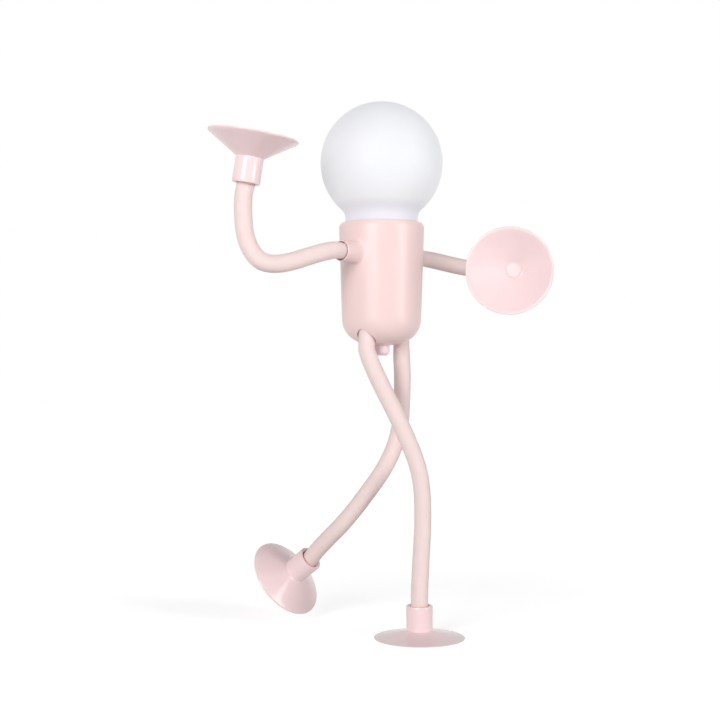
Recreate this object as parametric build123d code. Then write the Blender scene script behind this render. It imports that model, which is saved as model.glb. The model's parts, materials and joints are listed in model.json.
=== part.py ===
from build123d import *
import math
import os

# A battery night light shaped as a small standing figure: a milky globe for a head, a tapered torso
# that holds the cells and a push switch, and four bendable limbs that end in suction cups.
# Millimetres. The origin is the middle of the standing foot's suction face, +Z is up, and the two
# shoulders lie along X. Torso pieces are drawn about the torso's own axis, from the lowest point of
# its domed bottom, and then placed on the stance point.

# Stance of the torso above the standing foot
TORSO_X = -7.2
TORSO_Y = 17.9
TORSO_Z = 142.2

# Globe, with the neck that twists into the torso
GLOBE_RADIUS = 30.0
GLOBE_WALL = 1.6
GLOBE_RISE = 29.1
NECK_FILLET = 6.0
NECK_DEPTH = 7.0
NECK_CLEARANCE = 0.2

# Torso shell
TORSO_HEIGHT = 60.6
TORSO_TAPER = 1.5
TORSO_WALL = 1.9
TORSO_TOP_EDGE = 2.8
DOME_RADIUS = 34.0
DOME_CORNER = 12.0
LIP_HEIGHT = 3.0
LIP_WALL = 2.95

# Bayonet between the neck and the torso
LUG_COUNT = 3
LUG_ANGLE = 14.0
LUG_HEIGHT = 1.6
LUG_BITE = 1.2
LUG_CLEARANCE = 0.3
LUG_SIDE_ANGLE = 1.5
TWIST_ANGLE = 30.0

# Limb sockets in the torso
SHOULDER_DROP = 7.4
SHOULDER_OUT = 9.65
SHOULDER_RADIUS = 5.0
SHOULDER_ROOT_RADIUS = 5.5
SHOULDER_EDGE = 0.5
SHOULDER_BLEND = 1.4
HIP_OUT = 13.6
HIP_FRONT = 1.7
HIP_BORE_TOP = 11.0
SOCKET_WALL = 1.5
SOCKET_WEB = 1.6
SOCKET_CLEARANCE = 0.25
WIRE_CLEARANCE = 0.1

# Limbs: a soft sleeve on a bendable wire core
SLEEVE_RADIUS = 4.2
CORE_RADIUS = 1.5
CORE_CLEARANCE = 0.05
BEND_CLEARANCE = 0.4
BEND_LEAD = 8.0
LEAD_SHARE = 0.9
ARC_SHARE = 0.45
FERRULE_RADIUS = 3.4
FERRULE_LENGTH = 3.0
SEAT_GAP = 0.2

# Suction cups
CUP_NECK_RADIUS = 6.5
CUP_NECK_LENGTH = 12.0
CUP_NECK_EDGE = 0.8
CUP_INSERT = 10.5
CUP_RADIUS = 21.0
CUP_DEPTH = 10.3
CUP_WALL = 1.8
CUP_RIM = 0.9
CUP_LAND = 1.2
CUP_WELL_RADIUS = 4.0
PRESSED_RADIUS = 22.2
PRESSED_DEPTH = 3.9

# Push switch under the torso
BUTTON_RADIUS = 3.9
BUTTON_OUT = 4.7
BUTTON_EDGE = 2.2
BUTTON_CLEARANCE = 0.25
BUTTON_TRAVEL = 1.8
BUTTON_FLANGE_RADIUS = 5.4
BUTTON_FLANGE = 1.2
PLUNGER_RADIUS = 1.5
PLUNGER_SOCKET = 2.6
PLUNGER_IN = 2.6
PLUNGER_CLEARANCE = 0.06
SWITCH_SIDE = 8.0
SWITCH_HEIGHT = 6.0
SWITCH_GAP = 0.5
BOARD_WIDTH = 12.0
BOARD_END = 0.94
BOARD_THICKNESS = 1.2
POST_OUT = 11.0
POST_RADIUS = 2.4

# Screws for both boards
SCREW_RADIUS = 0.9
SCREW_LENGTH = 5.0
SCREW_HEAD_RADIUS = 1.8
SCREW_HEAD = 1.2
SCREW_CLEARANCE = 0.1

# Battery carrier and its cells
CELL_RADIUS = 5.25
CELL_LENGTH = 44.5
CELL_TIP_RADIUS = 1.9
CELL_TIP = 1.0
CELL_EDGE = 0.5
CELL_COUNT = 3
CELL_CLEARANCE = 0.15
CELL_WEB = 1.15
CELL_COVER = 0.35
CARRIER_END = 1.6
CARRIER_GAP = 0.3
PLATE_THICKNESS = 0.5
PLATE_RADIUS = 4.0
PLATE_GAP = 0.1
TIP_RADIUS = 2.6
TIP_HEIGHT = 0.8
RIB_THICKNESS = 1.6
RIB_SEAT = 2.7
RIB_COUNT = 4

# Contact ring on the ribs and the lead that feeds it
RING_WIDTH = 2.4
RING_THICKNESS = 0.6
LEAD_RADIUS = 0.6
CONTACT_GAP = 0.1

# Lamp base inside the neck, with the lights
BASE_WALL = 1.0
BASE_CLEARANCE = 0.1
BASE_FLANGE = 0.6
BASE_FLANGE_INSET = 0.4
CONTACT_ROOM = 2.6
DECK_THICKNESS = 1.8
DECK_RISE = 3.0
LED_BOARD_RADIUS = 12.0
LED_BOARD_THICKNESS = 1.5
LED_COUNT = 6
LED_CIRCLE = 6.4
LED_LENGTH = 3.5
LED_WIDTH = 2.8
LED_HEIGHT = 0.8
LED_SCREW_OUT = 9.6
LEAF_WIDTH = 4.0
LEAF_THICKNESS = 0.4

# Routes of the limbs, from the first bend to the mouth of the cup, chosen along the limbs' pose. The free
# limbs are measured from the torso's lowest point, and the standing leg's middle from the foot.
RAISED_ARM = [(-66.9, 12.9, 34.8), (-76.1, 19.9, 44.4), (-76.2, 19.4, 65.5), (-75.8, 18.1, 73.4)]
FORWARD_ARM = [
    (58.2, -8.6, 41.0),
    (69.9, -20.2, 39.4),
    (66.5, -34.9, 38.1),
    (49.5, -42.3, 37.6),
    (42.8, -46.7, 37.1),
]
STANDING_LEG = [(-4.5, -0.9, 91.9), (0.0, -3.1, 69.4)]
LIFTED_LEG = [
    (15.7, -1.6, -16.7),
    (14.1, -0.2, -50.6),
    (-1.4, 18.1, -84.3),
    (-0.4, 37.5, -102.6),
    (-1.1, 44.3, -107.6),
]

# Widths worked out from the sizes, from the cells outward
CELL_OUT = (CELL_RADIUS + CELL_CLEARANCE + CELL_WEB / 2) / math.sin(math.pi / CELL_COUNT)
CARRIER_RADIUS = CELL_OUT + CELL_RADIUS + CELL_COVER
BASE_BORE = CARRIER_RADIUS + CONTACT_ROOM
BASE_RADIUS = BASE_BORE + BASE_WALL
NECK_BORE = BASE_RADIUS + BASE_CLEARANCE
NECK_RADIUS = NECK_BORE + GLOBE_WALL
TORSO_TOP_RADIUS = NECK_RADIUS + NECK_CLEARANCE + LIP_WALL
TORSO_BASE_RADIUS = TORSO_TOP_RADIUS - TORSO_TAPER
CARRIER_BORE = CARRIER_RADIUS + CARRIER_GAP
SHOULDER_REACH = TORSO_TOP_RADIUS + SHOULDER_OUT
SHOULDER_SEAT = CARRIER_BORE + FERRULE_LENGTH + 2 * SEAT_GAP
SHOULDER_BORE_END = SHOULDER_SEAT + SOCKET_WEB
BORE_RADIUS = SLEEVE_RADIUS + SOCKET_CLEARANCE
CONTACT_OUT = math.sqrt((BASE_BORE - CONTACT_GAP) ** 2 - (LEAF_WIDTH / 2) ** 2) - LEAF_THICKNESS / 2
BOARD_LENGTH = 2 * (CONTACT_OUT + BOARD_END)

# Heights worked out from the sizes, on the torso's axis
INNER_DOME = DOME_RADIUS - TORSO_WALL
BUTTON_FLANGE_Z = DOME_RADIUS - math.sqrt(INNER_DOME**2 - BUTTON_FLANGE_RADIUS**2) + SEAT_GAP
SWITCH_Z = BUTTON_FLANGE_Z + BUTTON_FLANGE + BUTTON_TRAVEL + SWITCH_GAP
BOARD_Z = SWITCH_Z + SWITCH_HEIGHT
HIP_SOCKET_TOP = HIP_BORE_TOP + SOCKET_WEB
BOARD_TOP = BOARD_Z + BOARD_THICKNESS
FERRULE_TOP = HIP_SOCKET_TOP + SEAT_GAP + FERRULE_LENGTH
CARRIER_Z = max(FERRULE_TOP, BOARD_TOP + SCREW_HEAD) + SWITCH_GAP
CARRIER_HEIGHT = CELL_LENGTH + 2 * (CARRIER_END + PLATE_THICKNESS + PLATE_GAP)
CARRIER_TOP = CARRIER_Z + CARRIER_HEIGHT
NECK_BOTTOM = TORSO_HEIGHT - NECK_DEPTH
LIP_BOTTOM = TORSO_HEIGHT - LIP_HEIGHT
RING_Z = NECK_BOTTOM - BASE_FLANGE - CONTACT_GAP - RING_THICKNESS
SHOULDER_HEIGHT = RING_Z - SHOULDER_DROP
LUG_Z = (NECK_BOTTOM + LIP_BOTTOM) / 2
GLOBE_Z = TORSO_HEIGHT + GLOBE_RISE
DECK_Z = CARRIER_TOP + DECK_RISE
LED_BOARD_Z = DECK_Z + DECK_THICKNESS

UP = (Align.CENTER, Align.CENTER, Align.MIN)
OUTWARD = (Align.MIN, Align.CENTER, Align.MIN)
STANCE = Pos(TORSO_X, TORSO_Y, TORSO_Z)


def rod(radius, low, high, x=0.0, y=0.0):
    """An upright round bar between two heights."""
    return Pos(x, y, low) * Cylinder(radius, high - low, align=UP)


def tube(outer, bore, low, high):
    return rod(outer, low, high) - rod(bore, low, high)


def sector(outer, bore, low, high, middle, width):
    """A piece of an upright tube, between two heights, centred on one angle."""
    wedge = Cylinder(outer, high - low, arc_size=width, align=(Align.NONE, Align.NONE, Align.MIN))
    return Pos(0, 0, low) * Rot(0, 0, middle - width / 2) * wedge - rod(bore, low, high)


def turned(*edges):
    """A solid of revolution about Z from a closed outline of radius and height."""
    return revolve(Plane.XZ * make_face(Curve() + list(edges)), axis=Axis.Z)


def torso_form(inset, top):
    """The torso's outer form, or the same form set in by a wall, up to one height."""
    dome = DOME_RADIUS - inset
    corner = DOME_CORNER - inset
    side = TORSO_BASE_RADIUS - DOME_CORNER
    rise = DOME_RADIUS - math.sqrt((DOME_RADIUS - DOME_CORNER) ** 2 - side**2)
    lean = math.degrees(math.asin(side / (DOME_RADIUS - DOME_CORNER)))
    floor = CenterArc((0, DOME_RADIUS), dome, 270, lean)
    bend = CenterArc((side, rise), corner, 270 + lean, 90 - lean)
    slope = (TORSO_TOP_RADIUS - TORSO_BASE_RADIUS) / (TORSO_HEIGHT - rise)
    rim = TORSO_BASE_RADIUS - inset + slope * (top - rise)
    wall = Line(bend @ 1, (rim, top))
    cover = Line(wall @ 1, (0, top))
    return turned(floor, bend, wall, cover, Line(cover @ 1, floor @ 0))


# Torso shell, moulded with its shoulder bosses, hip sockets, ribs, posts and bayonet lugs

outside = torso_form(0, TORSO_HEIGHT)
outside = fillet(outside.edges().sort_by(Axis.Z)[-1], TORSO_TOP_EDGE)
cavity = torso_form(TORSO_WALL, LIP_BOTTOM)


def shoulder(side):
    """A tapered boss on one side, with its inner end flush with the ferrule's seat."""
    boss = Cone(SHOULDER_ROOT_RADIUS, SHOULDER_RADIUS, SHOULDER_REACH - SHOULDER_SEAT, align=UP)
    boss = fillet(boss.edges().sort_by(Axis.Z)[-1], SHOULDER_EDGE)
    plane = Plane(origin=(side * SHOULDER_SEAT, 0, SHOULDER_HEIGHT), z_dir=(side, 0, 0))
    return plane.location * boss


def shoulder_bore(side):
    """The sleeve's bore from outside, and the wire's hole through the web at its inner end."""
    plane = Plane(origin=(side * SHOULDER_BORE_END, 0, SHOULDER_HEIGHT), z_dir=(side, 0, 0))
    bore = Cylinder(BORE_RADIUS, SHOULDER_REACH, align=UP)
    hole = Pos(0, 0, -SOCKET_WEB) * Cylinder(CORE_RADIUS + WIRE_CLEARANCE, 2 * (SOCKET_WEB + SEAT_GAP))
    return plane.location * (bore + hole)


def hip_bore(side):
    bore = rod(BORE_RADIUS, 0, HIP_BORE_TOP)
    hole = rod(CORE_RADIUS + WIRE_CLEARANCE, HIP_BORE_TOP, HIP_SOCKET_TOP + SEAT_GAP)
    return Pos(side * HIP_OUT, -HIP_FRONT) * (bore + hole)


for side in (-1, 1):
    boss = shoulder(side)
    joined = outside + boss
    outside = fillet(new_edges(outside, boss, combined=joined), SHOULDER_BLEND)
    cavity -= boss
    cavity -= rod(BORE_RADIUS + SOCKET_WALL, 0, HIP_SOCKET_TOP, side * HIP_OUT, -HIP_FRONT)
    cavity -= rod(POST_RADIUS, 0, BOARD_Z, y=side * POST_OUT)
for count in range(RIB_COUNT):
    rib = Box(TORSO_TOP_RADIUS, RIB_THICKNESS, RING_Z, align=OUTWARD)
    rib -= rod(CARRIER_BORE, CARRIER_Z, RING_Z)
    rib -= rod(CARRIER_RADIUS - RIB_SEAT, 0, CARRIER_Z)
    cavity -= Rot(0, 0, (count + 0.5) * 360 / RIB_COUNT) * rib
lug_low = LUG_Z - LUG_HEIGHT / 2
lug_high = LUG_Z + LUG_HEIGHT / 2
for count in range(LUG_COUNT):
    at_lug = count * 360 / LUG_COUNT
    cavity -= sector(TORSO_TOP_RADIUS, NECK_RADIUS - LUG_BITE, lug_low, lug_high, at_lug, LUG_ANGLE)
shell = outside - cavity - rod(NECK_RADIUS + NECK_CLEARANCE, LIP_BOTTOM, TORSO_HEIGHT)
for side in (-1, 1):
    shell -= shoulder_bore(side)
    shell -= hip_bore(side)
    shell -= rod(SCREW_RADIUS, BOARD_Z - SCREW_LENGTH, BOARD_Z, y=side * POST_OUT)
shell -= rod(BUTTON_RADIUS + BUTTON_CLEARANCE, -BUTTON_OUT, SWITCH_Z)

# Push switch: cap, plunger, housing and the board that carries it

button_top = BUTTON_FLANGE_Z + BUTTON_FLANGE
cap = fillet(rod(BUTTON_RADIUS, -BUTTON_OUT, button_top).edges().sort_by(Axis.Z)[0], BUTTON_EDGE)
cap += rod(BUTTON_FLANGE_RADIUS, BUTTON_FLANGE_Z, button_top)
cap -= rod(PLUNGER_RADIUS, button_top - PLUNGER_SOCKET, button_top)
plunger = rod(PLUNGER_RADIUS, button_top - PLUNGER_SOCKET, SWITCH_Z + PLUNGER_IN)
housing = Pos(0, 0, SWITCH_Z) * Box(SWITCH_SIDE, SWITCH_SIDE, SWITCH_HEIGHT, align=UP)
guide_top = SWITCH_Z + PLUNGER_IN + BUTTON_TRAVEL + SEAT_GAP
housing -= rod(PLUNGER_RADIUS + PLUNGER_CLEARANCE, SWITCH_Z, guide_top)
board = Pos(0, 0, BOARD_Z) * Box(BOARD_WIDTH, BOARD_LENGTH, BOARD_THICKNESS, align=UP)
for side in (-1, 1):
    board -= rod(SCREW_RADIUS + SCREW_CLEARANCE, BOARD_Z, BOARD_TOP, y=side * POST_OUT)


def screw(seat):
    """A pan-head screw whose head sits at one height."""
    head = rod(SCREW_HEAD_RADIUS, seat, seat + SCREW_HEAD)
    head = fillet(head.edges().sort_by(Axis.Z)[-1], SCREW_HEAD / 2)
    slot = Pos(0, 0, seat + SCREW_HEAD) * Box(2 * SCREW_HEAD_RADIUS, SCREW_HEAD / 3, SCREW_HEAD / 2)
    return head + rod(SCREW_RADIUS, seat - SCREW_LENGTH, seat) - slot


board_screws = [Pos(0, side * POST_OUT, 0) * screw(BOARD_TOP) for side in (-1, 1)]

# Battery carrier with three cells in series and the plates that join them


def around(count):
    """The place of one cell about the carrier's axis."""
    angle = math.radians(90 + count * 360 / CELL_COUNT)
    return CELL_OUT * math.cos(angle), CELL_OUT * math.sin(angle)


def plates(grow):
    """Contact plates that join tip and cells in one chain, by turns at the top and at the bottom."""
    low = CARRIER_Z + CARRIER_END
    high = CARRIER_TOP - CARRIER_END - PLATE_THICKNESS
    ends = [Pos(*around(count)) * Circle(PLATE_RADIUS + grow) for count in range(CELL_COUNT)]
    middle = Circle(TIP_RADIUS + grow)
    chain = [middle, *ends, middle]
    joined = []
    for count, (one, two) in enumerate(zip(chain, chain[1:])):
        outline = make_hull(one.edges() + two.edges())
        height = low if count % 2 else high
        joined.append(Pos(0, 0, height - grow) * extrude(outline, PLATE_THICKNESS + 2 * grow))
    return joined


carrier = rod(CARRIER_RADIUS, CARRIER_Z, CARRIER_TOP)
pocket_low = CARRIER_Z + CARRIER_END
pocket_high = CARRIER_TOP - CARRIER_END
for count in range(CELL_COUNT):
    x, y = around(count)
    pocket = CELL_RADIUS + CELL_CLEARANCE
    carrier -= rod(pocket, pocket_low, pocket_high, x, y)
    mouth = Box(CARRIER_RADIUS, 2 * pocket, pocket_high - pocket_low, align=OUTWARD)
    carrier -= Rot(0, 0, 90 + count * 360 / CELL_COUNT) * Pos(CELL_OUT, 0, pocket_low) * mouth
for plate in plates(PLATE_GAP):
    carrier -= plate
carrier -= rod(TIP_RADIUS, CARRIER_Z - TIP_HEIGHT, CARRIER_Z + CARRIER_END)
carrier -= rod(TIP_RADIUS, CARRIER_TOP - CARRIER_END, CARRIER_TOP)
contacts = plates(0)
contacts[0] += rod(TIP_RADIUS, CARRIER_TOP - CARRIER_END, CARRIER_TOP + TIP_HEIGHT)
contacts[-1] += rod(TIP_RADIUS, CARRIER_Z, CARRIER_Z + CARRIER_END)

cell_low = CARRIER_Z + CARRIER_END + PLATE_THICKNESS + PLATE_GAP


def cell(count):
    """One cell with its tip up, or down for every second one of the chain."""
    can = rod(CELL_RADIUS, 0, CELL_LENGTH - CELL_TIP)
    can = fillet(can.edges().filter_by(GeomType.CIRCLE), CELL_EDGE)
    can += rod(CELL_TIP_RADIUS, CELL_LENGTH - CELL_TIP, CELL_LENGTH)
    if count % 2:
        can = Pos(0, 0, CELL_LENGTH) * Rot(180, 0, 0) * can
    return Pos(*around(count), cell_low) * can


# Contacts between the switch board, the carrier, the ring and the lamp base


def leaf(low, high):
    """A bowed contact strip that spans two heights on the axis."""
    span = 2 * LEAF_WIDTH
    bow = ThreePointArc((-span / 2, low), (0, high - LEAF_THICKNESS), (span / 2, low))
    crown = ThreePointArc((span / 2, low + LEAF_THICKNESS), (0, high), (-span / 2, low + LEAF_THICKNESS))
    outline = make_face(Curve() + [bow, Line(bow @ 1, crown @ 0), crown, Line(crown @ 1, bow @ 0)])
    return extrude(Plane.XZ * outline, LEAF_WIDTH / 2, both=True)


base_contact = leaf(BOARD_TOP, CARRIER_Z - CONTACT_GAP)
ring_top = RING_Z + RING_THICKNESS
ring = tube(CONTACT_OUT + RING_WIDTH / 2, CONTACT_OUT - RING_WIDTH / 2, RING_Z, ring_top)
lead = rod(LEAD_RADIUS, BOARD_TOP, RING_Z, y=CONTACT_OUT)

# Lamp base, a cap inside the neck, with the light board on its deck

base_low = NECK_BOTTOM - BASE_FLANGE
lamp_base = rod(BASE_RADIUS, base_low, LED_BOARD_Z) - rod(BASE_BORE, base_low, DECK_Z)
lamp_base += tube(NECK_RADIUS - BASE_FLANGE_INSET, BASE_BORE, base_low, NECK_BOTTOM)
light_board = rod(LED_BOARD_RADIUS, LED_BOARD_Z, LED_BOARD_Z + LED_BOARD_THICKNESS)
light_top = LED_BOARD_Z + LED_BOARD_THICKNESS
light_screws = []
for side in (-1, 1):
    lamp_base -= rod(SCREW_RADIUS, DECK_Z, LED_BOARD_Z, y=side * LED_SCREW_OUT)
    light_board -= rod(SCREW_RADIUS + SCREW_CLEARANCE, LED_BOARD_Z, light_top, y=side * LED_SCREW_OUT)
    short = screw(light_top) - rod(SCREW_HEAD_RADIUS, 0, DECK_Z)
    light_screws.append(Pos(0, side * LED_SCREW_OUT, 0) * short)
chip = Pos(LED_CIRCLE, 0, light_top) * Box(LED_LENGTH, LED_WIDTH, LED_HEIGHT, align=UP)
leds = [Rot(0, 0, count * 360 / LED_COUNT) * chip for count in range(LED_COUNT)]
centre_contact = Pos(0, 0, CARRIER_TOP + TIP_HEIGHT + DECK_Z) * Rot(180, 0, 0) * leaf(
    CARRIER_TOP + TIP_HEIGHT, DECK_Z - CONTACT_GAP
)
ring_contacts = []
for side in (-1, 1):
    strip = Box(LEAF_WIDTH, LEAF_THICKNESS, (DECK_Z - ring_top) / 2, align=UP)
    ring_contacts.append(Pos(0, side * CONTACT_OUT, ring_top + CONTACT_GAP / 2) * strip)

# Globe: a ball blown onto a round neck, with a bayonet slot for each lug


def globe_form(inset):
    """The globe's outer form, or its hollow set in by the wall."""
    ball = GLOBE_RADIUS - inset
    neck = NECK_RADIUS - inset
    throat = NECK_FILLET + inset
    drop = math.sqrt((ball + throat) ** 2 - (neck + throat) ** 2)
    lean = math.degrees(math.atan2(drop, neck + throat))
    stem = Line((neck, NECK_BOTTOM), (neck, GLOBE_Z - drop))
    flare = CenterArc((neck + throat, GLOBE_Z - drop), throat, 180, -lean)
    dome = CenterArc((0, GLOBE_Z), ball, -lean, 90 + lean)
    spine = Line(dome @ 1, (0, NECK_BOTTOM))
    return turned(stem, flare, dome, spine, Line(spine @ 1, stem @ 0))


globe = globe_form(0) - globe_form(GLOBE_WALL)
slot_half = LUG_ANGLE / 2 + LUG_SIDE_ANGLE
slot_low = lug_low - LUG_CLEARANCE
slot_high = lug_high + LUG_CLEARANCE
slot_outer = NECK_RADIUS + LUG_BITE
slot_bore = NECK_BORE - LUG_BITE
for count in range(LUG_COUNT):
    at_lug = count * 360 / LUG_COUNT
    run_width = 2 * slot_half + TWIST_ANGLE
    globe -= sector(slot_outer, slot_bore, slot_low, slot_high, at_lug - TWIST_ANGLE / 2, run_width)
    globe -= sector(slot_outer, slot_bore, NECK_BOTTOM, slot_high, at_lug - TWIST_ANGLE, 2 * slot_half)

# Suction cups, drawn along Z from the mouth of the neck to the rim


def cup(radius, depth):
    """A soft cup on a round neck; a pressed cup is wider and shallower than a free one."""
    rim = CUP_NECK_LENGTH + depth
    web = CUP_NECK_LENGTH + CUP_WALL
    bore = SLEEVE_RADIUS + CORE_CLEARANCE
    corners = [
        (0, web),
        (CUP_WELL_RADIUS, web),
        (radius - CUP_LAND, rim),
        (radius, rim),
        (radius, rim - CUP_RIM),
        (CUP_NECK_RADIUS, CUP_NECK_LENGTH),
        (CUP_NECK_RADIUS, 0),
        (bore, 0),
        (bore, CUP_INSERT),
        (0, CUP_INSERT),
    ]
    form = revolve(Plane.XZ * make_face(Polyline(*corners, close=True)), axis=Axis.Z)
    mouth_edge = form.edges().group_by(Axis.Z)[0].sort_by(SortBy.RADIUS)[-1]
    return fillet(mouth_edge, CUP_NECK_EDGE)


# Limbs: each is one route from its socket to its cup, cut into links that bend at three places


def route(root, first, points):
    """Straight runs with arcs as large as the runs allow; the first arc stays outside the socket."""
    corners = [Vector(p) for p in [root, first, *points]]
    runs = [b - a for a, b in zip(corners, corners[1:])]
    radii = []
    for before, after in zip(runs, runs[1:]):
        room = ARC_SHARE * min(before.length, after.length)
        if not radii:
            room = min(LEAD_SHARE * BEND_LEAD, ARC_SHARE * after.length)
        radii.append(room / math.tan(math.radians(before.get_angle(after) / 2)))
    return FilletPolyline(*corners, radius=radii)


def at(path, s):
    """The plane across a route at one length along it."""
    return Plane(origin=path.position_at(s / path.length), z_dir=path.tangent_at(s / path.length))


def swept(path, low, high, radius, bore=0.0):
    """A round bar or tube along one stretch of a route."""
    stretch = path.wire().trim(low / path.length, high / path.length)
    section = Circle(radius)
    if bore:
        section -= Circle(bore)
    return sweep(at(path, low) * section, path=stretch)


def limb(path, inner_length):
    """The sleeve and core of each link, and the lengths along the route where it bends."""
    insert_end = path.length
    first = inner_length + BEND_LEAD
    last = insert_end - CUP_INSERT - BEND_LEAD + SEAT_GAP
    bends = [first, (first + last) / 2, last]
    starts = [0, *bends]
    ends = [*bends, insert_end]
    bore = CORE_RADIUS + CORE_CLEARANCE
    sleeves = []
    cores = []
    for low, high in zip(starts, ends):
        is_tip = high == insert_end
        sleeve = swept(path, low, high, SLEEVE_RADIUS, 0.0 if is_tip else bore)
        if not is_tip:
            sleeve += at(path, high).location * Sphere(SLEEVE_RADIUS, arc_size1=0, align=UP)
        core_low = low
        if low:
            socket = SLEEVE_RADIUS + BEND_CLEARANCE
            sleeve -= at(path, low).location * Sphere(socket)
            core_low = low + socket + SEAT_GAP
        sleeves.append(sleeve)
        if not is_tip:
            cores.append(swept(path, core_low, high, CORE_RADIUS))
    ferrule_low = -SOCKET_WEB - SEAT_GAP - FERRULE_LENGTH
    root = at(path, 0).location * Pos(0, 0, ferrule_low)
    cores[0] += root * Cylinder(CORE_RADIUS, -ferrule_low, align=UP)
    ferrule = Cylinder(FERRULE_RADIUS, FERRULE_LENGTH, align=UP)
    ferrule -= Cylinder(CORE_RADIUS, FERRULE_LENGTH, align=UP)
    return sleeves, cores, root * ferrule, bends


def from_torso(points):
    return [(STANCE * Pos(*point)).position for point in points]


def arm_route(side, points):
    root = STANCE * Pos(side * SHOULDER_BORE_END, 0, SHOULDER_HEIGHT)
    first = STANCE * Pos(side * (SHOULDER_REACH + BEND_LEAD), 0, SHOULDER_HEIGHT)
    return root.position, first.position, points, SHOULDER_REACH - SHOULDER_BORE_END


def leg_route(side, points):
    exit_z = DOME_RADIUS - math.sqrt(DOME_RADIUS**2 - HIP_OUT**2 - HIP_FRONT**2)
    root = STANCE * Pos(side * HIP_OUT, -HIP_FRONT, HIP_BORE_TOP)
    first = STANCE * Pos(side * HIP_OUT, -HIP_FRONT, exit_z - BEND_LEAD)
    return root.position, first.position, points, HIP_BORE_TOP - exit_z


foot_mouth = CUP_NECK_LENGTH + PRESSED_DEPTH
foot_points = [*STANDING_LEG, (0, 0, foot_mouth + BEND_LEAD), (0, 0, foot_mouth)]
plans = {
    "raised_arm": (arm_route(-1, from_torso(RAISED_ARM)), CUP_RADIUS, CUP_DEPTH),
    "forward_arm": (arm_route(1, from_torso(FORWARD_ARM)), CUP_RADIUS, CUP_DEPTH),
    "standing_leg": (leg_route(-1, foot_points), PRESSED_RADIUS, PRESSED_DEPTH),
    "lifted_leg": (leg_route(1, from_torso(LIFTED_LEG)), CUP_RADIUS, CUP_DEPTH),
}
LINK_NAMES = {"arm": ["root", "upper", "fore", "tip"], "leg": ["root", "thigh", "shin", "tip"]}

# All pieces by name, placed on the stance

torso_pieces = {
    "torso_shell": shell,
    "button_cap": cap,
    "switch_plunger": plunger,
    "switch_housing": housing,
    "switch_board": board,
    "board_screws": board_screws,
    "battery_carrier": carrier,
    "carrier_contacts": contacts,
    "base_contact": base_contact,
    "contact_ring": ring,
    "supply_lead": lead,
    "globe": globe,
    "lamp_base": lamp_base,
    "led_board": light_board,
    "led_chips": leds,
    "led_screws": light_screws,
    "centre_contact": centre_contact,
    "ring_contacts": ring_contacts,
}
for count in range(CELL_COUNT):
    torso_pieces[f"battery_cell_{count + 1}"] = cell(count)

pieces = {}
for name, piece in torso_pieces.items():
    if isinstance(piece, list):
        pieces[name] = Compound([STANCE * one for one in piece])
    else:
        pieces[name] = STANCE * piece

limb_frames = {}
for name, ((root, first, points, inner_length), radius, depth) in plans.items():
    *lead_points, mouth = [Vector(p) for p in points]
    aim = (mouth - lead_points[-1]).normalized()
    path = route(root, first, [*lead_points, mouth + aim * (CUP_INSERT - SEAT_GAP)])
    sleeves, cores, ferrule, bends = limb(path, inner_length)
    links = LINK_NAMES[name.split("_")[1]]
    for link, sleeve in zip(links, sleeves):
        pieces[f"{name}_{link}_sleeve"] = sleeve
    for link, core in zip(links, cores):
        pieces[f"{name}_{link}_core"] = core
    pieces[f"{name}_ferrule"] = ferrule
    seat = Plane(origin=mouth, z_dir=aim)
    pieces[f"{name}_cup"] = seat.location * cup(radius, depth)
    limb_frames[name] = (path, bends, seat, CUP_NECK_LENGTH + depth)

os.makedirs("parts", exist_ok=True)
for name, piece in pieces.items():
    export_step(piece, f"parts/{name}.step")
print(len(pieces), "nodes")
for name, (path, bends, seat, rim) in limb_frames.items():
    places = [path.position_at(bend / path.length) for bend in bends]
    print(name, "bends at", *[(round(p.X, 1), round(p.Y, 1), round(p.Z, 1)) for p in places])
    print(name, "rim at", seat.origin + seat.z_dir * rim)
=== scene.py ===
# A battery night light shaped as a small standing figure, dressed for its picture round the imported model.
# Metres, in the model's own frame: the standing foot's suction face is at the origin and +Z is up.

import json
import math

import bpy
from mathutils import Matrix, Vector


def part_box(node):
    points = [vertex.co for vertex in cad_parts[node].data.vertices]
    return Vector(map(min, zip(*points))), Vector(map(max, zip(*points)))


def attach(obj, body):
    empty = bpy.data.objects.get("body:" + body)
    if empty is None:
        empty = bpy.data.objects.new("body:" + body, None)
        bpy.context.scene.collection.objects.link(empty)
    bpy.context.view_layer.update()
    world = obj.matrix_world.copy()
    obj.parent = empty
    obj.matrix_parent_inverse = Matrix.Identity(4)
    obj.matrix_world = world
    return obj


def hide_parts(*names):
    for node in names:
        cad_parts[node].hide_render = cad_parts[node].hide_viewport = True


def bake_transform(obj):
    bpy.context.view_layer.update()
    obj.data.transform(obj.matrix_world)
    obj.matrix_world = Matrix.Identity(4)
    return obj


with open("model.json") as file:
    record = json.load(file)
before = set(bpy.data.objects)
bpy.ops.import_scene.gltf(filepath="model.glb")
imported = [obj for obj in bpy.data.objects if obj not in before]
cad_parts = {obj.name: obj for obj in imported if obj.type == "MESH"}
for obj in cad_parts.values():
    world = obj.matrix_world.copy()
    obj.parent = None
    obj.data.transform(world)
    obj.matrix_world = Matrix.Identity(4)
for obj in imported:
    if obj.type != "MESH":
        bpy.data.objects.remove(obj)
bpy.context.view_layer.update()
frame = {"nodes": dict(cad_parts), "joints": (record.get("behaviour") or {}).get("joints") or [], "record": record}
MM = 0.001

# Torso shell: one moulded body with two shoulder bosses, two leg sockets and a domed bottom.
# It is pale pink plastic under a satin lacquer, so its surface shows only a fine orange peel.
SKIN_CREASE = math.radians(32)
MERGE_GAP = 0.0005 * MM


def srgb(red, green, blue):
    """A colour as it looks on a screen, from 0 to 255, in the shader's linear light."""
    shares = [value / 255 for value in (red, green, blue)]
    return (*[s / 12.92 if s < 0.04045 else ((s + 0.055) / 1.055) ** 2.4 for s in shares], 1.0)


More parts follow.
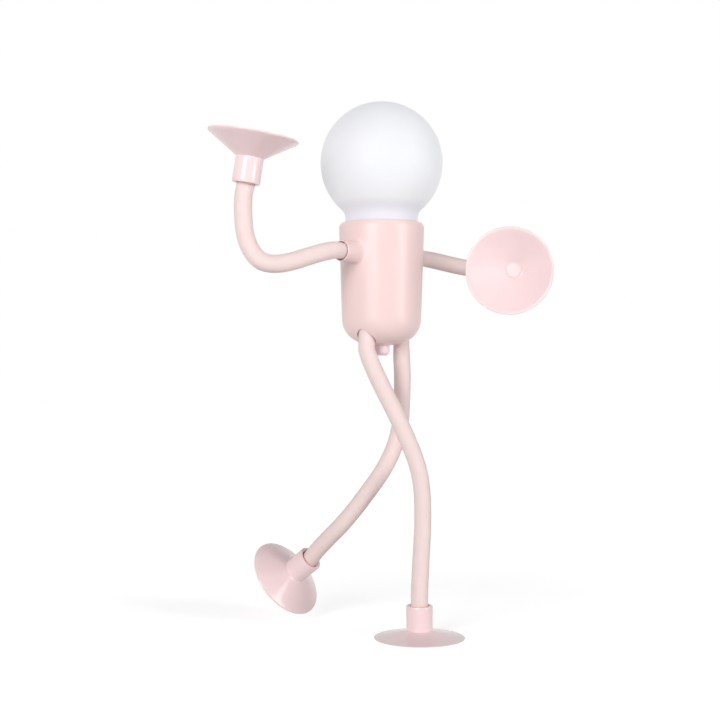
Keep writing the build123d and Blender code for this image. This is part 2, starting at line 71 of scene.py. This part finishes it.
class Paint:
    """One socket of a material: sums of sockets add Math nodes, and node() adds any other node."""

    def __init__(self, tree, socket=None):
        self.tree = tree
        self.socket = socket

    def node(self, kind, settings=None, sockets=None, output=0):
        made = self.tree.nodes.new(kind)
        for name, value in (settings or {}).items():
            setattr(made, name, value)
        for name, value in (sockets or {}).items():
            if isinstance(value, Paint):
                self.tree.links.new(value.socket, made.inputs[name])
            else:
                made.inputs[name].default_value = value
        return Paint(self.tree, made.outputs[output])

    def maths(self, operation, one, two):
        return self.node("ShaderNodeMath", {"operation": operation}, {0: one, 1: two})

    def __add__(self, other):
        return self.maths("ADD", self, other)

    def __sub__(self, other):
        return self.maths("SUBTRACT", self, other)

    def __rsub__(self, other):
        return self.maths("SUBTRACT", other, self)

    def __mul__(self, other):
        return self.maths("MULTIPLY", self, other)

    __radd__ = __add__
    __rmul__ = __mul__

    def grain(self, size, detail=2.0):
        """Soft random spots of one size, in metres, from 0 to 1."""
        return self.node("ShaderNodeTexNoise", None, {"Vector": self, "Scale": 1 / size, "Detail": detail})

    def tint(self, low, high):
        """A colour between two, by this value."""
        sockets = {0: self, 6: low, 7: high}
        return self.node("ShaderNodeMix", {"data_type": "RGBA", "clamp_factor": True}, sockets, output=2)

    def bump(self, strength, depth):
        """A surface normal with this value as a height, up to one depth in metres."""
        return self.node("ShaderNodeBump", None, {"Height": self, "Strength": strength, "Distance": depth})


def new_finish(name, **constants):
    """A material with fixed values, its object coordinates, and a call that links varying values."""
    material = bpy.data.materials.new(name)
    material.use_nodes = True
    tree = material.node_tree
    shader = tree.nodes["Principled BSDF"]
    for socket, value in constants.items():
        shader.inputs[socket.replace("_", " ")].default_value = value
    place = Paint(tree).node("ShaderNodeTexCoord", output="Object")

    def link(**values):
        for socket, value in values.items():
            tree.links.new(value.socket, shader.inputs[socket.replace("_", " ")])

    return material, place, link


def lacquered_plastic(name, light, dark, rough):
    """Moulded plastic with a soft cloud in its colour and the fine peel of a sprayed coat."""
    material, place, link = new_finish(name, Coat_Weight=0.1, Coat_Roughness=0.15, Specular_IOR_Level=0.35)
    cloud = place.grain(18 * MM, detail=3.0)
    peel = place.grain(0.55 * MM)
    link(
        Base_Color=cloud.tint(dark, light),
        Roughness=rough + 0.08 * (peel - 0.5),
        Normal=peel.bump(strength=0.12, depth=0.03 * MM),
    )
    return material


def alone(piece):
    """Leaves one object selected and active, for the operators that follow."""
    bpy.ops.object.select_all(action="DESELECT")
    piece.select_set(True)
    bpy.context.view_layer.objects.active = piece


def smooth_skin(node, material, body):
    """A copy of a rigid node with its triangles merged, so that round faces shade as one."""
    piece = bpy.data.objects.new(node + "_skin", frame["nodes"][node].data.copy())
    bpy.context.collection.objects.link(piece)
    alone(piece)
    bpy.ops.object.mode_set(mode="EDIT")
    bpy.ops.mesh.select_all(action="SELECT")
    bpy.ops.mesh.remove_doubles(threshold=MERGE_GAP)
    bpy.ops.object.mode_set(mode="OBJECT")
    bpy.ops.mesh.customdata_custom_splitnormals_clear()
    bpy.ops.object.shade_smooth_by_angle(angle=SKIN_CREASE)
    piece.data.materials.clear()
    piece.data.materials.append(material)
    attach(piece, body)
    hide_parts(node)


body_pink = lacquered_plastic("body_pink_lacquer", srgb(248, 220, 218), srgb(244, 215, 213), rough=0.36)
smooth_skin("torso_shell", body_pink, "torso")

# Push switch: a pink moulded cap that is pressed up into the body, on the black plunger of a small
# latching switch. The switch is soldered to a green board, which two screws hold on the body's posts.


def dressed(names, material):
    """Gives rigid nodes that keep their own shape one finish."""
    for name in names:
        frame["nodes"][name].material_slots[0].material = material


# the cap's own pinker tone, painted paler as painted light against the shade it sits in under the body
button_pink_painted_light = lacquered_plastic("button_pink_lacquer_painted_light", srgb(255, 231, 236), srgb(253, 226, 232), rough=0.3)
smooth_skin("button_cap", button_pink_painted_light, "button")

switch_black, place, link = new_finish("switch_black_nylon")
speck = place.grain(0.3 * MM)
link(
    Base_Color=speck.tint(srgb(26, 26, 28), srgb(44, 44, 46)),
    Roughness=0.5 + 0.2 * speck,
    Normal=speck.bump(strength=0.3, depth=0.05 * MM),
)
dressed(["switch_housing", "switch_plunger"], switch_black)

board_green, place, link = new_finish("board_green_lacquer", Specular_IOR_Level=0.5)
weave = place.grain(0.5 * MM, detail=4.0)
tracks = {"Vector": place, "Scale": 90.0, "Mortar Size": 0.06, "Mortar": (1, 1, 1, 1)}
bare = {"Color1": (0, 0, 0, 1), "Color2": (0, 0, 0, 1)}
copper = place.node("ShaderNodeTexBrick", {"offset": 0.5}, {**tracks, **bare})
link(
    Base_Color=(copper * 0.6).tint(srgb(22, 82, 48), srgb(58, 128, 78)),
    Roughness=0.35 + 0.2 * weave,
    Normal=(weave + copper).bump(strength=0.2, depth=0.04 * MM),
)
dressed(["switch_board", "led_board"], board_green)

screw_steel, place, link = new_finish("screw_zinc_steel", Metallic=1.0)
streak = place.grain(0.4 * MM, detail=4.0)
link(Base_Color=streak.tint(srgb(172, 174, 178), srgb(205, 206, 208)), Roughness=0.25 + 0.2 * streak)
dressed(["board_screws", "led_screws"], screw_steel)

# Battery carrier: an open white frame that three cells snap into, lying in the body's ribs. The cells
# have a dark jacket with a copper band over a bright can, and brass plates join them in one chain.
BAND_START = 0.72

inner_white, place, link = new_finish("inner_white_plastic")
flow = place.grain(6 * MM, detail=3.0)
link(
    Base_Color=flow.tint(srgb(226, 226, 220), srgb(240, 240, 236)),
    Roughness=0.5 + 0.12 * flow,
    Normal=place.grain(0.4 * MM).bump(strength=0.2, depth=0.04 * MM),
)
dressed(["battery_carrier", "lamp_base"], inner_white)

cell_jacket, place, link = new_finish("cell_jacket_film", Coat_Weight=0.4, Coat_Roughness=0.08)
height = place.node("ShaderNodeSeparateXYZ", None, {"Vector": place}, output=2)
carrier_low, carrier_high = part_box("battery_carrier")
band_low = carrier_low.z + BAND_START * (carrier_high.z - carrier_low.z)
band = height.maths("GREATER_THAN", height, band_low)
scuff = place.grain(1.5 * MM, detail=4.0)
link(Base_Color=band.tint(srgb(44, 47, 54), srgb(176, 138, 84)), Roughness=0.25 + 0.2 * scuff)
dressed([f"battery_cell_{count}" for count in (1, 2, 3)], cell_jacket)

contact_brass, place, link = new_finish("contact_rolled_brass", Metallic=1.0)
roll = place.grain(0.8 * MM, detail=4.0)
link(Base_Color=roll.tint(srgb(186, 146, 84), srgb(222, 188, 124)), Roughness=0.25 + 0.25 * roll)
contact_nodes = ["carrier_contacts", "base_contact", "contact_ring", "supply_lead"]
dressed([*contact_nodes, "centre_contact", "ring_contacts"], contact_brass)

# Lights: six small chips soldered in a ring on the board in the globe's neck. Each is a drop of yellow
# gel in a tiny frame, which turns its blue light to warm white.
chip_yellow, place, link = new_finish("chip_phosphor_gel", Coat_Weight=0.5)
gel = place.grain(0.5 * MM)
link(Base_Color=gel.tint(srgb(242, 214, 96), srgb(250, 232, 140)), Roughness=0.25 + 0.15 * gel)
dressed(["led_chips"], chip_yellow)

# Globe: a blown milky ball on a short neck that twists into the body. Its wall scatters the light, and its
# outer face is lightly frosted, so it shows broad soft highlights and no reflection.
# the neck is painted greyer up to these heights: painted shade of the lamp base inside the translucent neck
NECK_PAINTED_SHADE = srgb(196, 194, 201)
NECK_SHADE_HEIGHTS = (208 * MM, 213 * MM)
globe_milk_painted_light, place, link = new_finish(
    "globe_milky_plastic_painted_light",
    Specular_IOR_Level=0.25,
    # painted light: a faint even glow over the globe that stands in for the light scattered in its milky wall
    Emission_Color=srgb(250, 250, 255),
    Emission_Strength=0.275,
)
haze = place.grain(14 * MM, detail=3.0)
frost = place.grain(0.35 * MM)
height = place.node("ShaderNodeSeparateXYZ", None, {"Vector": place}, output=2)
above = height.node("ShaderNodeMapRange", None, {0: height, 1: NECK_SHADE_HEIGHTS[0], 2: NECK_SHADE_HEIGHTS[1]})
link(
    Base_Color=above.tint(NECK_PAINTED_SHADE, haze.tint(srgb(207, 208, 211), srgb(211, 212, 214))),
    Roughness=0.5 + 0.1 * (frost - 0.5),
    Normal=frost.bump(strength=0.06, depth=0.02 * MM),
)
smooth_skin("globe", globe_milk_painted_light, "head")

# Limb cores: soft iron wire that stays as it is bent, in three lengths to a limb, one to a link.
# A brass ferrule is crimped on its inner end, so that it can't be pulled out of the body.
wire_iron, place, link = new_finish("wire_soft_iron", Metallic=1.0)
draw = place.grain(0.6 * MM, detail=4.0)
link(Base_Color=draw.tint(srgb(120, 118, 116), srgb(158, 156, 152)), Roughness=0.35 + 0.25 * draw)
LIMBS = {
    "raised_arm": ("upper", "fore"),
    "forward_arm": ("upper", "fore"),
    "standing_leg": ("thigh", "shin"),
    "lifted_leg": ("thigh", "shin"),
}
BENDS = {"arm": ("shoulder", "elbow", "wrist"), "leg": ("hip", "knee", "ankle")}
for limb, links in LIMBS.items():
    dressed([f"{limb}_{part}_core" for part in ("root", *links)], wire_iron)
    dressed([f"{limb}_ferrule"], contact_brass)

# Limb sleeves: matte silicone tube over each wire, from its socket in the body to the neck of its cup.
# Each is one smooth line, cut where it is stiff into three lengths, one round each joint.
SLEEVE_RADIUS = 4.2 * MM
CUP_INSERT = 10.3 * MM
# distances along the line to either side of each bend, in millimetres: beside the body, in the middle, beside the
# cup; nothing is shaped by them
BEND_REACH = {"arm": (7, 11, 7), "leg": (7, 16, 8)}
# the lowest point of the body's dome, and how far the sockets' mouths are from it
TORSO = Vector((-7.2, 17.9, 142.2)) * MM
SHOULDER_REACH = 30.6 * MM
HIP_EXIT = 2.89 * MM
BEND_LEAD = 8 * MM
TUBE_SIDES = 20
TUBE_STEPS = 16
TUBE_CREASE = math.radians(50)
SOCKET_PINCH = 0.92
SLOPE_STEP = 2
# points that draw each sleeve's line from its first bend to its cup, in millimetres
SLEEVE_ROUTES = {
    "raised_arm": [(-74.1, 30.8, 176.9), (-82.5, 36.9, 187.6), (-83.7, 37.7, 207.7), (-83.0, 36.0, 215.6)],
    "forward_arm": [
        (51.0, 9.3, 183.2),
        (62.7, -2.3, 181.6),
        (59.3, -17.0, 180.3),
        (42.3, -24.4, 179.8),
        (35.6, -28.8, 179.3),
    ],
    "standing_leg": [(-4.9, -0.4, 91.9), (0, -3.1, 69.4), (0, 0, 23.9), (0, 0, 15.9)],
    "lifted_leg": [
        (8.2, 16.7, 125.5),
        (6.9, 17.7, 91.6),
        (-8.6, 36.0, 57.9),
        (-9.0, 57.1, 40.0),
        (-8.5, 63.8, 33.4),
    ],
}

sleeve_silicone, place, link = new_finish("sleeve_matte_silicone", Specular_IOR_Level=0.3, Sheen_Weight=0.15)
mottle = place.grain(5 * MM, detail=4.0)
powder = place.grain(0.22 * MM, detail=3.0)
link(
    Base_Color=(0.7 * mottle + 0.3 * powder).tint(srgb(240, 217, 214), srgb(250, 229, 226)),
    Roughness=0.68 + 0.16 * (powder - 0.5),
    Normal=powder.bump(strength=0.22, depth=0.05 * MM),
)
joint_place = {joint["name"]: Vector(joint["pos_m"]) for joint in frame["joints"]}


def socket_line(limb):
    """Three points on the axis of a limb's socket: inside the body, at its mouth, and at the first bend."""
    root = joint_place[f"{limb}_swivel"]
    if limb.endswith("arm"):
        side = Vector((math.copysign(1, root.x - TORSO.x), 0, 0))
        mouth = Vector((TORSO.x + side.x * SHOULDER_REACH, root.y, root.z))
    else:
        side = Vector((0, 0, -1))
        mouth = Vector((root.x, root.y, TORSO.z + HIP_EXIT))
    return [root, mouth, mouth + side * BEND_LEAD]


def tube_along(name, points, radius):
    """A round tube along one smooth line, as a mesh whose rings follow each other."""
    line = bpy.data.curves.new(name, "CURVE")
    line.dimensions = "3D"
    line.bevel_depth = radius
    line.bevel_resolution = TUBE_SIDES // 2 - 2
    line.resolution_u = TUBE_STEPS
    spline = line.splines.new("NURBS")
    spline.points.add(len(points) - 1)
    for point, at in zip(spline.points, points):
        point.co = (*at, 1)
    for point in spline.points[:2]:
        point.radius = SOCKET_PINCH
    spline.use_endpoint_u = True
    spline.order_u = 3
    tube = bpy.data.objects.new(name, line)
    bpy.context.collection.objects.link(tube)
    alone(tube)
    bpy.ops.object.convert(target="MESH")
    return bpy.context.object


def ring_centres(tube):
    """The middle of each ring of a tube's mesh, in order."""
    places = [vertex.co for vertex in tube.data.vertices]
    starts = range(0, len(places), TUBE_SIDES)
    return [sum(places[start : start + TUBE_SIDES], Vector()) / TUBE_SIDES for start in starts]


def nearest(centres, point):
    """The number of the ring whose middle is closest to a point."""
    return min(range(len(centres)), key=lambda k: (centres[k] - point).length)


def length_of(tube, name, first, last):
    """A copy of a tube that keeps the rings from first to last, closed at both ends."""
    piece = bpy.data.objects.new(name, tube.data.copy())
    bpy.context.collection.objects.link(piece)
    alone(piece)
    bpy.ops.object.mode_set(mode="EDIT")
    bpy.ops.mesh.select_all(action="DESELECT")
    bpy.ops.object.mode_set(mode="OBJECT")
    for vertex in piece.data.vertices:
        vertex.select = not first <= vertex.index // TUBE_SIDES <= last
    bpy.ops.object.mode_set(mode="EDIT")
    bpy.ops.mesh.select_mode(type="VERT")
    bpy.ops.mesh.delete(type="VERT")
    bpy.ops.mesh.select_all(action="DESELECT")
    bpy.ops.mesh.select_non_manifold()
    bpy.ops.mesh.fill_holes(sides=0)
    bpy.ops.mesh.select_all(action="SELECT")
    bpy.ops.mesh.normals_make_consistent(inside=False)
    bpy.ops.object.mode_set(mode="OBJECT")
    bpy.ops.object.shade_smooth_by_angle(angle=TUBE_CREASE)
    return piece


for limb, (upper, fore) in LIMBS.items():
    route = [Vector(point) * MM for point in SLEEVE_ROUTES[limb]]
    mouth = route[-1]
    seat = mouth + (mouth - route[-2]).normalized() * CUP_INSERT
    tube = tube_along(f"{limb}_line", [*socket_line(limb), *route, seat], SLEEVE_RADIUS)
    centres = ring_centres(tube)
    kind = limb.split("_")[1]
    bends = [joint_place[f"{limb}_{bend}"] for bend in BENDS[kind]]
    at_bend = [nearest(centres, bend) for bend in bends]
    cuts = [0, *[(one + two) // 2 for one, two in zip(at_bend, at_bend[1:])], len(centres) - 1]
    stands_for = [["root"], [upper], [fore, "tip"]]
    for count, bend in enumerate(bends):
        name = f"{limb}_sleeve_{count + 1}"
        piece = length_of(tube, name, cuts[count], cuts[count + 1])
        piece.data.materials.append(sleeve_silicone)
        here = at_bend[count]
        slope = (centres[here + SLOPE_STEP] - centres[here - SLOPE_STEP]).normalized()
        along = slope * BEND_REACH[kind][count] * MM
        bend - along
        bend + along
        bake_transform(piece)
        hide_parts(*[f"{limb}_{part}_sleeve" for part in stands_for[count]])
    bpy.data.objects.remove(tube)

# Suction cups: soft glossy vinyl, moulded in one with a round neck that is pushed over the sleeve's end.
# The inner face is painted paler in a band inside the rim, a painted highlight for the thin lip catching the
# light, and on a small pad in the middle, a painted highlight of the centre well; the standing foot's cup is
# pressed flat on the floor.
CUP_TURNS = 128
CUP_CREASE = math.radians(40)
CENTRE_INSET = 0.6
# outlines of radius and height in millimetres, from inside the neck, over the rim, to the middle of the face
NECK_OUTLINE = [
    (4.25, 10.5),
    (4.25, 3.4),
    (4.6, 2.8),
    (4.75, 1.9),
    (4.8, 0.7),
    (5.0, 0.25),
    (5.35, 0.03),
    (6.1, 0.03),
    (6.4, 0.2),
    (6.52, 0.55),
    (6.55, 1.3),
    (6.5, 6.5),
    (6.46, 11.7),
    (6.52, 12.0),
]
CUP_OUTLINE = [
    *NECK_OUTLINE,
    (6.9, 12.3),
    (7.8, 12.9),
    (11.0, 15.0),
    (15.5, 17.9),
    (19.0, 20.15),
    (20.5, 21.1),
    (20.92, 21.5),
    (21.0, 21.9),
    (20.85, 22.2),
    (20.3, 22.3),
    (19.8, 22.25),
    (19.3, 22.0),
    (17.5, 20.95),
    (13.5, 18.75),
    (9.0, 16.4),
    (5.6, 14.6),
    (4.6, 14.1),
    (4.0, 13.9),
    (3.6, 13.9),
    (3.35, 14.1),
    (3.2, 14.3),
    (2.8, 14.4),
    (1.6, 14.42),
]
PRESSED_OUTLINE = [
    *NECK_OUTLINE,
    (7.0, 12.3),
    (8.4, 12.75),
    (11.0, 13.4),
    (14.5, 14.15),
    (18.5, 14.9),
    (21.2, 15.35),
    (21.95, 15.5),
    (22.2, 15.7),
    (22.1, 15.85),
    (21.6, 15.9),
    (21.0, 15.88),
    (20.3, 15.75),
    (17.0, 15.4),
    (12.0, 14.75),
    (7.0, 14.1),
    (4.0, 13.85),
    (1.6, 13.8),
]
# sizes of the painted highlights on the inner face: a pad in the middle and a band inside the rim
CENTRE_HIGHLIGHT_RADIUS = 3.4 * MM
RIM_HIGHLIGHT_WIDTH = 1.3 * MM
# how three of the soft cups give: the lifted foot's neck sinks in by some millimetres, and the hands lean
KICK_SINK = 2.0
HAND_LEAN = Vector((1.6, -1.9, 0)) * MM
RAISED_LEAN = Vector((0.04, 0.034, 0))
CUP_MOUNTS = {
    "raised_arm": "raised_hand_face",
    "forward_arm": "forward_hand_face",
    "standing_leg": "standing_foot_face",
    "lifted_leg": "lifted_foot_face",
}

cup_vinyl_highlighted, place, link = new_finish(
    "cup_glossy_vinyl_highlighted", Coat_Weight=0.2, Coat_Roughness=0.14, Specular_IOR_Level=0.4
)
swirl = place.grain(9 * MM, detail=3.0)
painted_rim_and_pad_highlight = place.node("ShaderNodeAttribute", {"attribute_name": "painted_rim_and_pad_highlight"}, output="Fac")
fine = place.grain(0.6 * MM)
vinyl = swirl.tint(srgb(247, 217, 219), srgb(251, 225, 226))
link(
    # painted highlight: paler vinyl on the rim band and the middle pad
    Base_Color=painted_rim_and_pad_highlight.tint(vinyl, srgb(250, 231, 231)),
    Roughness=0.19 + 0.08 * (fine - 0.5),
    Normal=(0.8 * swirl + 0.2 * fine).bump(strength=0.1, depth=0.12 * MM),
)


def turned(name, outline):
    """A round piece about Z: one ring extruded and resized along an outline of radius and height."""
    bpy.ops.object.select_all(action="DESELECT")
    radius, height = outline[0]
    bpy.ops.mesh.primitive_circle_add(vertices=CUP_TURNS, radius=radius * MM, location=(0, 0, height * MM))
    piece = bpy.context.object
    piece.name = name
    bpy.ops.object.transform_apply()
    bpy.ops.object.mode_set(mode="EDIT")
    bpy.ops.mesh.select_all(action="SELECT")
    for (radius, height), (next_radius, next_height) in zip(outline, outline[1:]):
        rise = {"value": (0, 0, (next_height - height) * MM)}
        bpy.ops.mesh.extrude_edges_move(TRANSFORM_OT_translate=rise)
        grow = next_radius / radius
        bpy.ops.transform.resize(value=(grow, grow, 1), center_override=(0, 0, 0))
    radius, height = outline[-1]
    bpy.ops.mesh.edge_face_add()
    bpy.ops.mesh.inset(thickness=CENTRE_INSET * radius * MM)
    bpy.ops.mesh.select_all(action="DESELECT")
    bpy.ops.mesh.select_non_manifold()
    bpy.ops.mesh.fill_holes(sides=0)
    bpy.ops.mesh.select_all(action="SELECT")
    bpy.ops.mesh.normals_make_consistent(inside=False)
    bpy.ops.object.mode_set(mode="OBJECT")
    bpy.ops.object.shade_smooth_by_angle(angle=CUP_CREASE)
    return piece


def sunk_neck(outline, sink):
    """A cup's outline with its neck pushed towards the rim, as a soft cup gives under its limb."""
    root = NECK_OUTLINE[-1][0]
    rim = max(radius for radius, height in outline)
    return [(r, h + sink * min(1, (rim - r) / (rim - root))) for r, h in outline]


mounts = {mount["name"]: mount for mount in frame["record"]["mounts"]}
for limb, mount in CUP_MOUNTS.items():
    outline = PRESSED_OUTLINE if limb == "standing_leg" else CUP_OUTLINE
    if limb == "lifted_leg":
        outline = sunk_neck(outline, KICK_SINK)
    piece = turned(f"{limb}_suction_cup", outline)
    radii = [radius for radius, height in outline]
    widest = max(radii) * MM
    inner_side = CUP_TURNS * radii.index(max(radii))
    # painted highlight: 1 on the middle pad, rising to 1 in a band inside the rim, on the inner face only
    painted_highlight_layer = piece.data.attributes.new("painted_rim_and_pad_highlight", "FLOAT", "POINT")
    for vertex in piece.data.vertices[inner_side:]:
        out = math.hypot(vertex.co.x, vertex.co.y)
        highlight_share = 1.0 if out < CENTRE_HIGHLIGHT_RADIUS else max(0.0, 1 - (widest - out) / RIM_HIGHLIGHT_WIDTH)
        painted_highlight_layer.data[vertex.index].value = highlight_share
    aim = Vector(mounts[mount]["axis"])
    if limb == "raised_arm":
        aim = (aim + RAISED_LEAN).normalized()
    rim = Vector(mounts[mount]["pos_m"])
    mouth = rim - aim * max(height for radius, height in outline) * MM
    piece.data.transform(Matrix.Translation(mouth) @ aim.to_track_quat("Z", "Y").to_matrix().to_4x4())
    if limb == "forward_arm":
        for vertex in piece.data.vertices[inner_side:]:
            out = (vertex.co - rim).cross(aim).length
            vertex.co += HAND_LEAN * max(0.0, 1 - out / widest)
    piece.data.materials.append(cup_vinyl_highlighted)
    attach(piece, f"{limb}_tip")
    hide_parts(f"{limb}_cup")

# Stage: a white table and a white room, with two broad lamps in front and a level camera at the light's
# left, which sees the room as plain white.
CAMERA_PLACE = Vector((-503.5, -384.7, 135.3)) * MM
CAMERA_TURN = math.radians(-50)
CAMERA_LENS = 65
CAMERA_SENSOR = 36
ROOM_LIGHT = 0.61
OVERHEAD_DROP = 0.54
FLOOR_SIZE = 6.0
NEAR_GLOW = 0.6
FAR_GLOW = 0.86
GLOW_START = 0.15
GLOW_END = 0.6
LAMP_AIM = Vector((-0.007, 0.018, 0.15))


def seen_rays(tree):
    """1 for a ray that the camera sees, straight, in a reflection or through glass, and 0 for others."""
    camera_ray = Paint(tree).node("ShaderNodeLightPath", output="Is Camera Ray")
    light_path = camera_ray.socket.node
    glossy = Paint(tree, light_path.outputs["Is Glossy Ray"])
    through = Paint(tree, light_path.outputs["Is Transmission Ray"])
    seen = camera_ray + glossy + through
    return seen.maths("MINIMUM", seen, 1.0)


world = bpy.data.worlds.new("white_room")
bpy.context.scene.world = world
world.use_nodes = True
background = world.node_tree.nodes["Background"]
background.inputs["Color"].default_value = (1, 1, 1, 1)
way = Paint(world.node_tree).node("ShaderNodeTexCoord", output="Generated")
height = way.node("ShaderNodeSeparateXYZ", None, {"Vector": way}, output=2)
dim = ROOM_LIGHT - OVERHEAD_DROP * height.maths("MAXIMUM", height, 0.0)
seen = seen_rays(world.node_tree)
room = dim.maths("MAXIMUM", dim, seen)
world.node_tree.links.new(room.socket, background.inputs["Strength"])

bpy.ops.object.select_all(action="DESELECT")
bpy.ops.mesh.primitive_plane_add(size=FLOOR_SIZE)
floor = bpy.context.object
floor.name = "table"
table_white, place, link = new_finish(
    "table_white",
    Base_Color=(0.88, 0.88, 0.88, 1),
    Roughness=0.9,
    Specular_IOR_Level=0.0,
    Emission_Color=(1, 1, 1, 1),
)
reach = place.node("ShaderNodeVectorMath", {"operation": "LENGTH"}, {0: place}, output="Value")
far = reach.node("ShaderNodeMapRange", None, {0: reach, 1: GLOW_START, 2: GLOW_END})
glow = (NEAR_GLOW + (FAR_GLOW - NEAR_GLOW) * far) * seen_rays(table_white.node_tree)
link(Emission_Strength=glow)
floor.data.materials.append(table_white)


def soft_lamp(name, turn, rise, distance, size, power):
    """A soft lamp that faces the light, turned about it from the camera's side."""
    view = Vector((CAMERA_PLACE.x - LAMP_AIM.x, CAMERA_PLACE.y - LAMP_AIM.y, 0)).normalized()
    away = Matrix.Rotation(math.radians(turn), 3, "Z") @ view
    data = bpy.data.lights.new(name, "AREA")
    data.shape = "RECTANGLE"
    data.size, data.size_y = size
    data.energy = power
    made = bpy.data.objects.new(name, data)
    bpy.context.collection.objects.link(made)
    made.location = LAMP_AIM + away * distance + Vector((0, 0, rise))
    made.rotation_euler = (LAMP_AIM - made.location).to_track_quat("-Z", "Y").to_euler()


soft_lamp("left_lamp", turn=-26, rise=0.4, distance=1.6, size=(0.76, 0.76), power=13.8)
soft_lamp("right_lamp", turn=58, rise=0.3, distance=1.6, size=(0.49, 0.8), power=8.8)

camera_data = bpy.data.cameras.new("camera")
camera_data.lens = CAMERA_LENS
camera_data.sensor_width = CAMERA_SENSOR
camera = bpy.data.objects.new("camera", camera_data)
bpy.context.collection.objects.link(camera)
camera.location = CAMERA_PLACE
camera.rotation_euler = (math.radians(90), 0, CAMERA_TURN)
bpy.context.scene.camera = camera

bpy.context.scene.view_settings.view_transform = "Standard"
